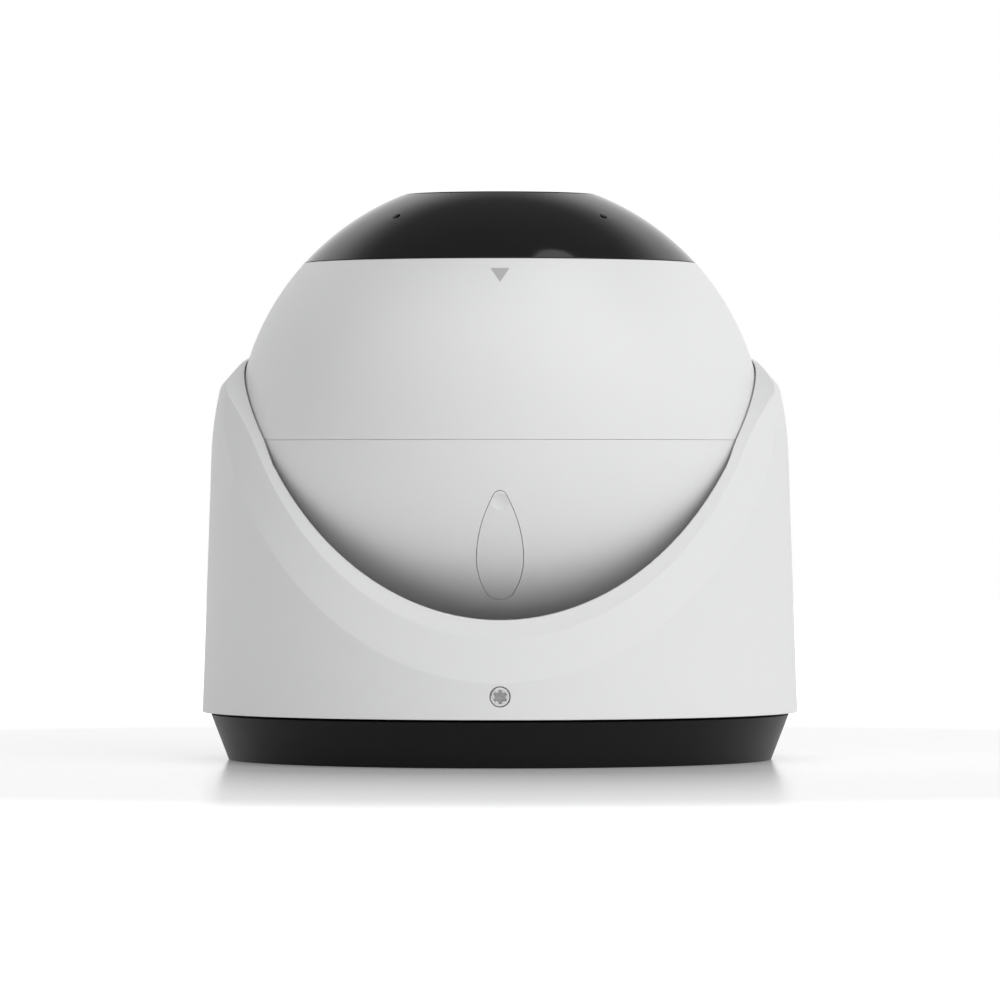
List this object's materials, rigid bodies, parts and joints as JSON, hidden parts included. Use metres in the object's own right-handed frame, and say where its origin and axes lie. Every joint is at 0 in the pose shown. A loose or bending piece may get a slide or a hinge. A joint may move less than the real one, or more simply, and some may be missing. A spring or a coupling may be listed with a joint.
{
  "type": "security camera",
  "caption": "Turret security camera: white ball on a swivel housing with a sloping front cut-out, dark cover and lens window, on a black mounting base. Pans, tilts and rolls.",
  "frame": {"origin": "Centre of the mounting base's underside, the face that goes against the wall or ceiling.", "axes": "+Z points away from the mounting surface and along the lens axis at rest. The housing's sloping front cut-out faces -Y. +X is to the right when looking at the cut-out."},
  "size_m": [0.0991, 0.099, 0.094],
  "materials": {
    "housing_white": "fine matt white polycarbonate",
    "ball_white": "smooth satin white polycarbonate",
    "base_black": "satin black moulded plastic",
    "cradle_black": "glass-filled black plastic",
    "cover_black": "high-gloss black polycarbonate",
    "bezel_black": "fine-textured black",
    "window_glass": "tinted flat window",
    "lens_glass": "coated lens glass",
    "filter_glass": "thin filter glass",
    "sensor_glass": "image sensor package",
    "lens_black": "black anodised barrel",
    "led_lens": "clear-dark resin",
    "mark_grey": "printed mid grey",
    "button_grey": "grey acetal",
    "glide_plastic": "natural acetal",
    "seal_rubber": "soft black silicone",
    "foam_gasket": "closed-cell foam",
    "thermal_grey": "silicone thermal pad",
    "screw_steel": "plated steel",
    "lock_screw_steel": "bright stainless",
    "bright_metal": "pressed stainless",
    "chassis_metal": "die-cast aluminium",
    "circuit_board": "green solder mask",
    "chip_black": "moulded epoxy",
    "connector_cream": "cream nylon",
    "capacitor_sleeve": "shrink sleeve",
    "flex_amber": "polyimide flex"
  },
  "bodies": {
    "base": {"mounting_base": "base_black", "base_gasket": "foam_gasket", "cable_grommet": "seal_rubber", "pan_glide_ring": "glide_plastic", "pan_retainer_ring": "bright_metal", "pan_retainer_screws": "screw_steel"},
    "housing": {"housing_shell": "housing_white", "collar_friction_ring": "seal_rubber", "ball_cradle": "cradle_black", "cradle_friction_pad": "seal_rubber", "cradle_screws": "screw_steel"},
    "clamp": {"clamp_shoe": "glide_plastic"},
    "screw": {"lock_screw": "lock_screw_steel"},
    "tilt": {"tilt_shoe": "cradle_black"},
    "ball": {"front_shell": "ball_white", "rear_shell": "ball_white", "orientation_mark": "mark_grey", "front_cover": "cover_black", "front_cover_gasket": "seal_rubber", "seam_gasket": "seal_rubber", "lens_window": "window_glass", "neck_clip": "screw_steel", "shell_screws": "screw_steel", "cable_gland": "cradle_black", "gland_nut": "bright_metal", "mic_boots": "seal_rubber", "microphones": "bright_metal", "card_socket": "bright_metal", "service_board": "circuit_board", "reset_switch": "cradle_black", "inner_chassis": "chassis_metal", "chassis_screws": "screw_steel", "main_board": "circuit_board", "power_board": "circuit_board", "board_screws": "screw_steel", "processor": "chip_black", "thermal_pad": "thermal_grey", "heat_spreader": "chassis_metal", "memory_chips": "chip_black", "board_connectors": "connector_cream", "transformer": "chip_black", "capacitors": "capacitor_sleeve", "sensor_board": "circuit_board", "sensor_flex": "flex_amber", "image_sensor": "sensor_glass", "sensor_cap": "cradle_black", "filter_frame": "cradle_black", "lens_mount": "cradle_black", "lens_barrel": "lens_black", "lens_elements": "lens_glass", "led_board": "circuit_board", "infrared_leds": "led_lens", "light_sensor": "led_lens", "light_baffle": "seal_rubber", "lens_bezel": "bezel_black"},
    "plug": {"service_plug": "ball_white", "service_plug_seal": "seal_rubber"},
    "button": {"reset_button": "button_grey"},
    "filter": {"filter_slider": "cradle_black", "filter_glasses": "filter_glass"}
  },
  "joints": [
    {"name": "pan", "type": "hinge", "parent": "base", "child": "housing", "pos_m": [0, 0, 0.012], "axis": [0, 0, 1], "range_deg": [-175, 175]},
    {"name": "clamp_slide", "type": "slide", "parent": "housing", "child": "clamp", "axis": [0, 1, 0], "range_m": [0, 0.0005]},
    {"name": "lock_turn", "type": "hinge", "parent": "clamp", "child": "screw", "pos_m": [0, -0.049, 0.01163], "axis": [0, 1, 0], "range_deg": [0, 360]},
    {"name": "tilt", "type": "hinge", "parent": "housing", "child": "tilt", "pos_m": [0, 0, 0.053], "axis": [1, 0, 0], "range_deg": [0, 80]},
    {"name": "roll", "type": "hinge", "parent": "tilt", "child": "ball", "pos_m": [0, 0, 0.017], "axis": [0, 0, 1], "range_deg": [-175, 175]},
    {"name": "plug_pull", "type": "slide", "parent": "ball", "child": "plug", "axis": [0, -0.9191, -0.3939], "range_m": [0, 0.008]},
    {"name": "reset_press", "type": "slide", "parent": "ball", "child": "button", "axis": [0, 0.9191, 0.3939], "range_m": [0, 0.0004], "stiffness_N_per_m": 800},
    {"name": "filter_shift", "type": "slide", "parent": "ball", "child": "filter", "axis": [-1, 0, 0], "range_m": [0, 0.0075]}
  ],
  "couplings": [
    {"joint": "lock_turn", "follows": "clamp_slide", "rad_per_m": 12566}
  ]
}
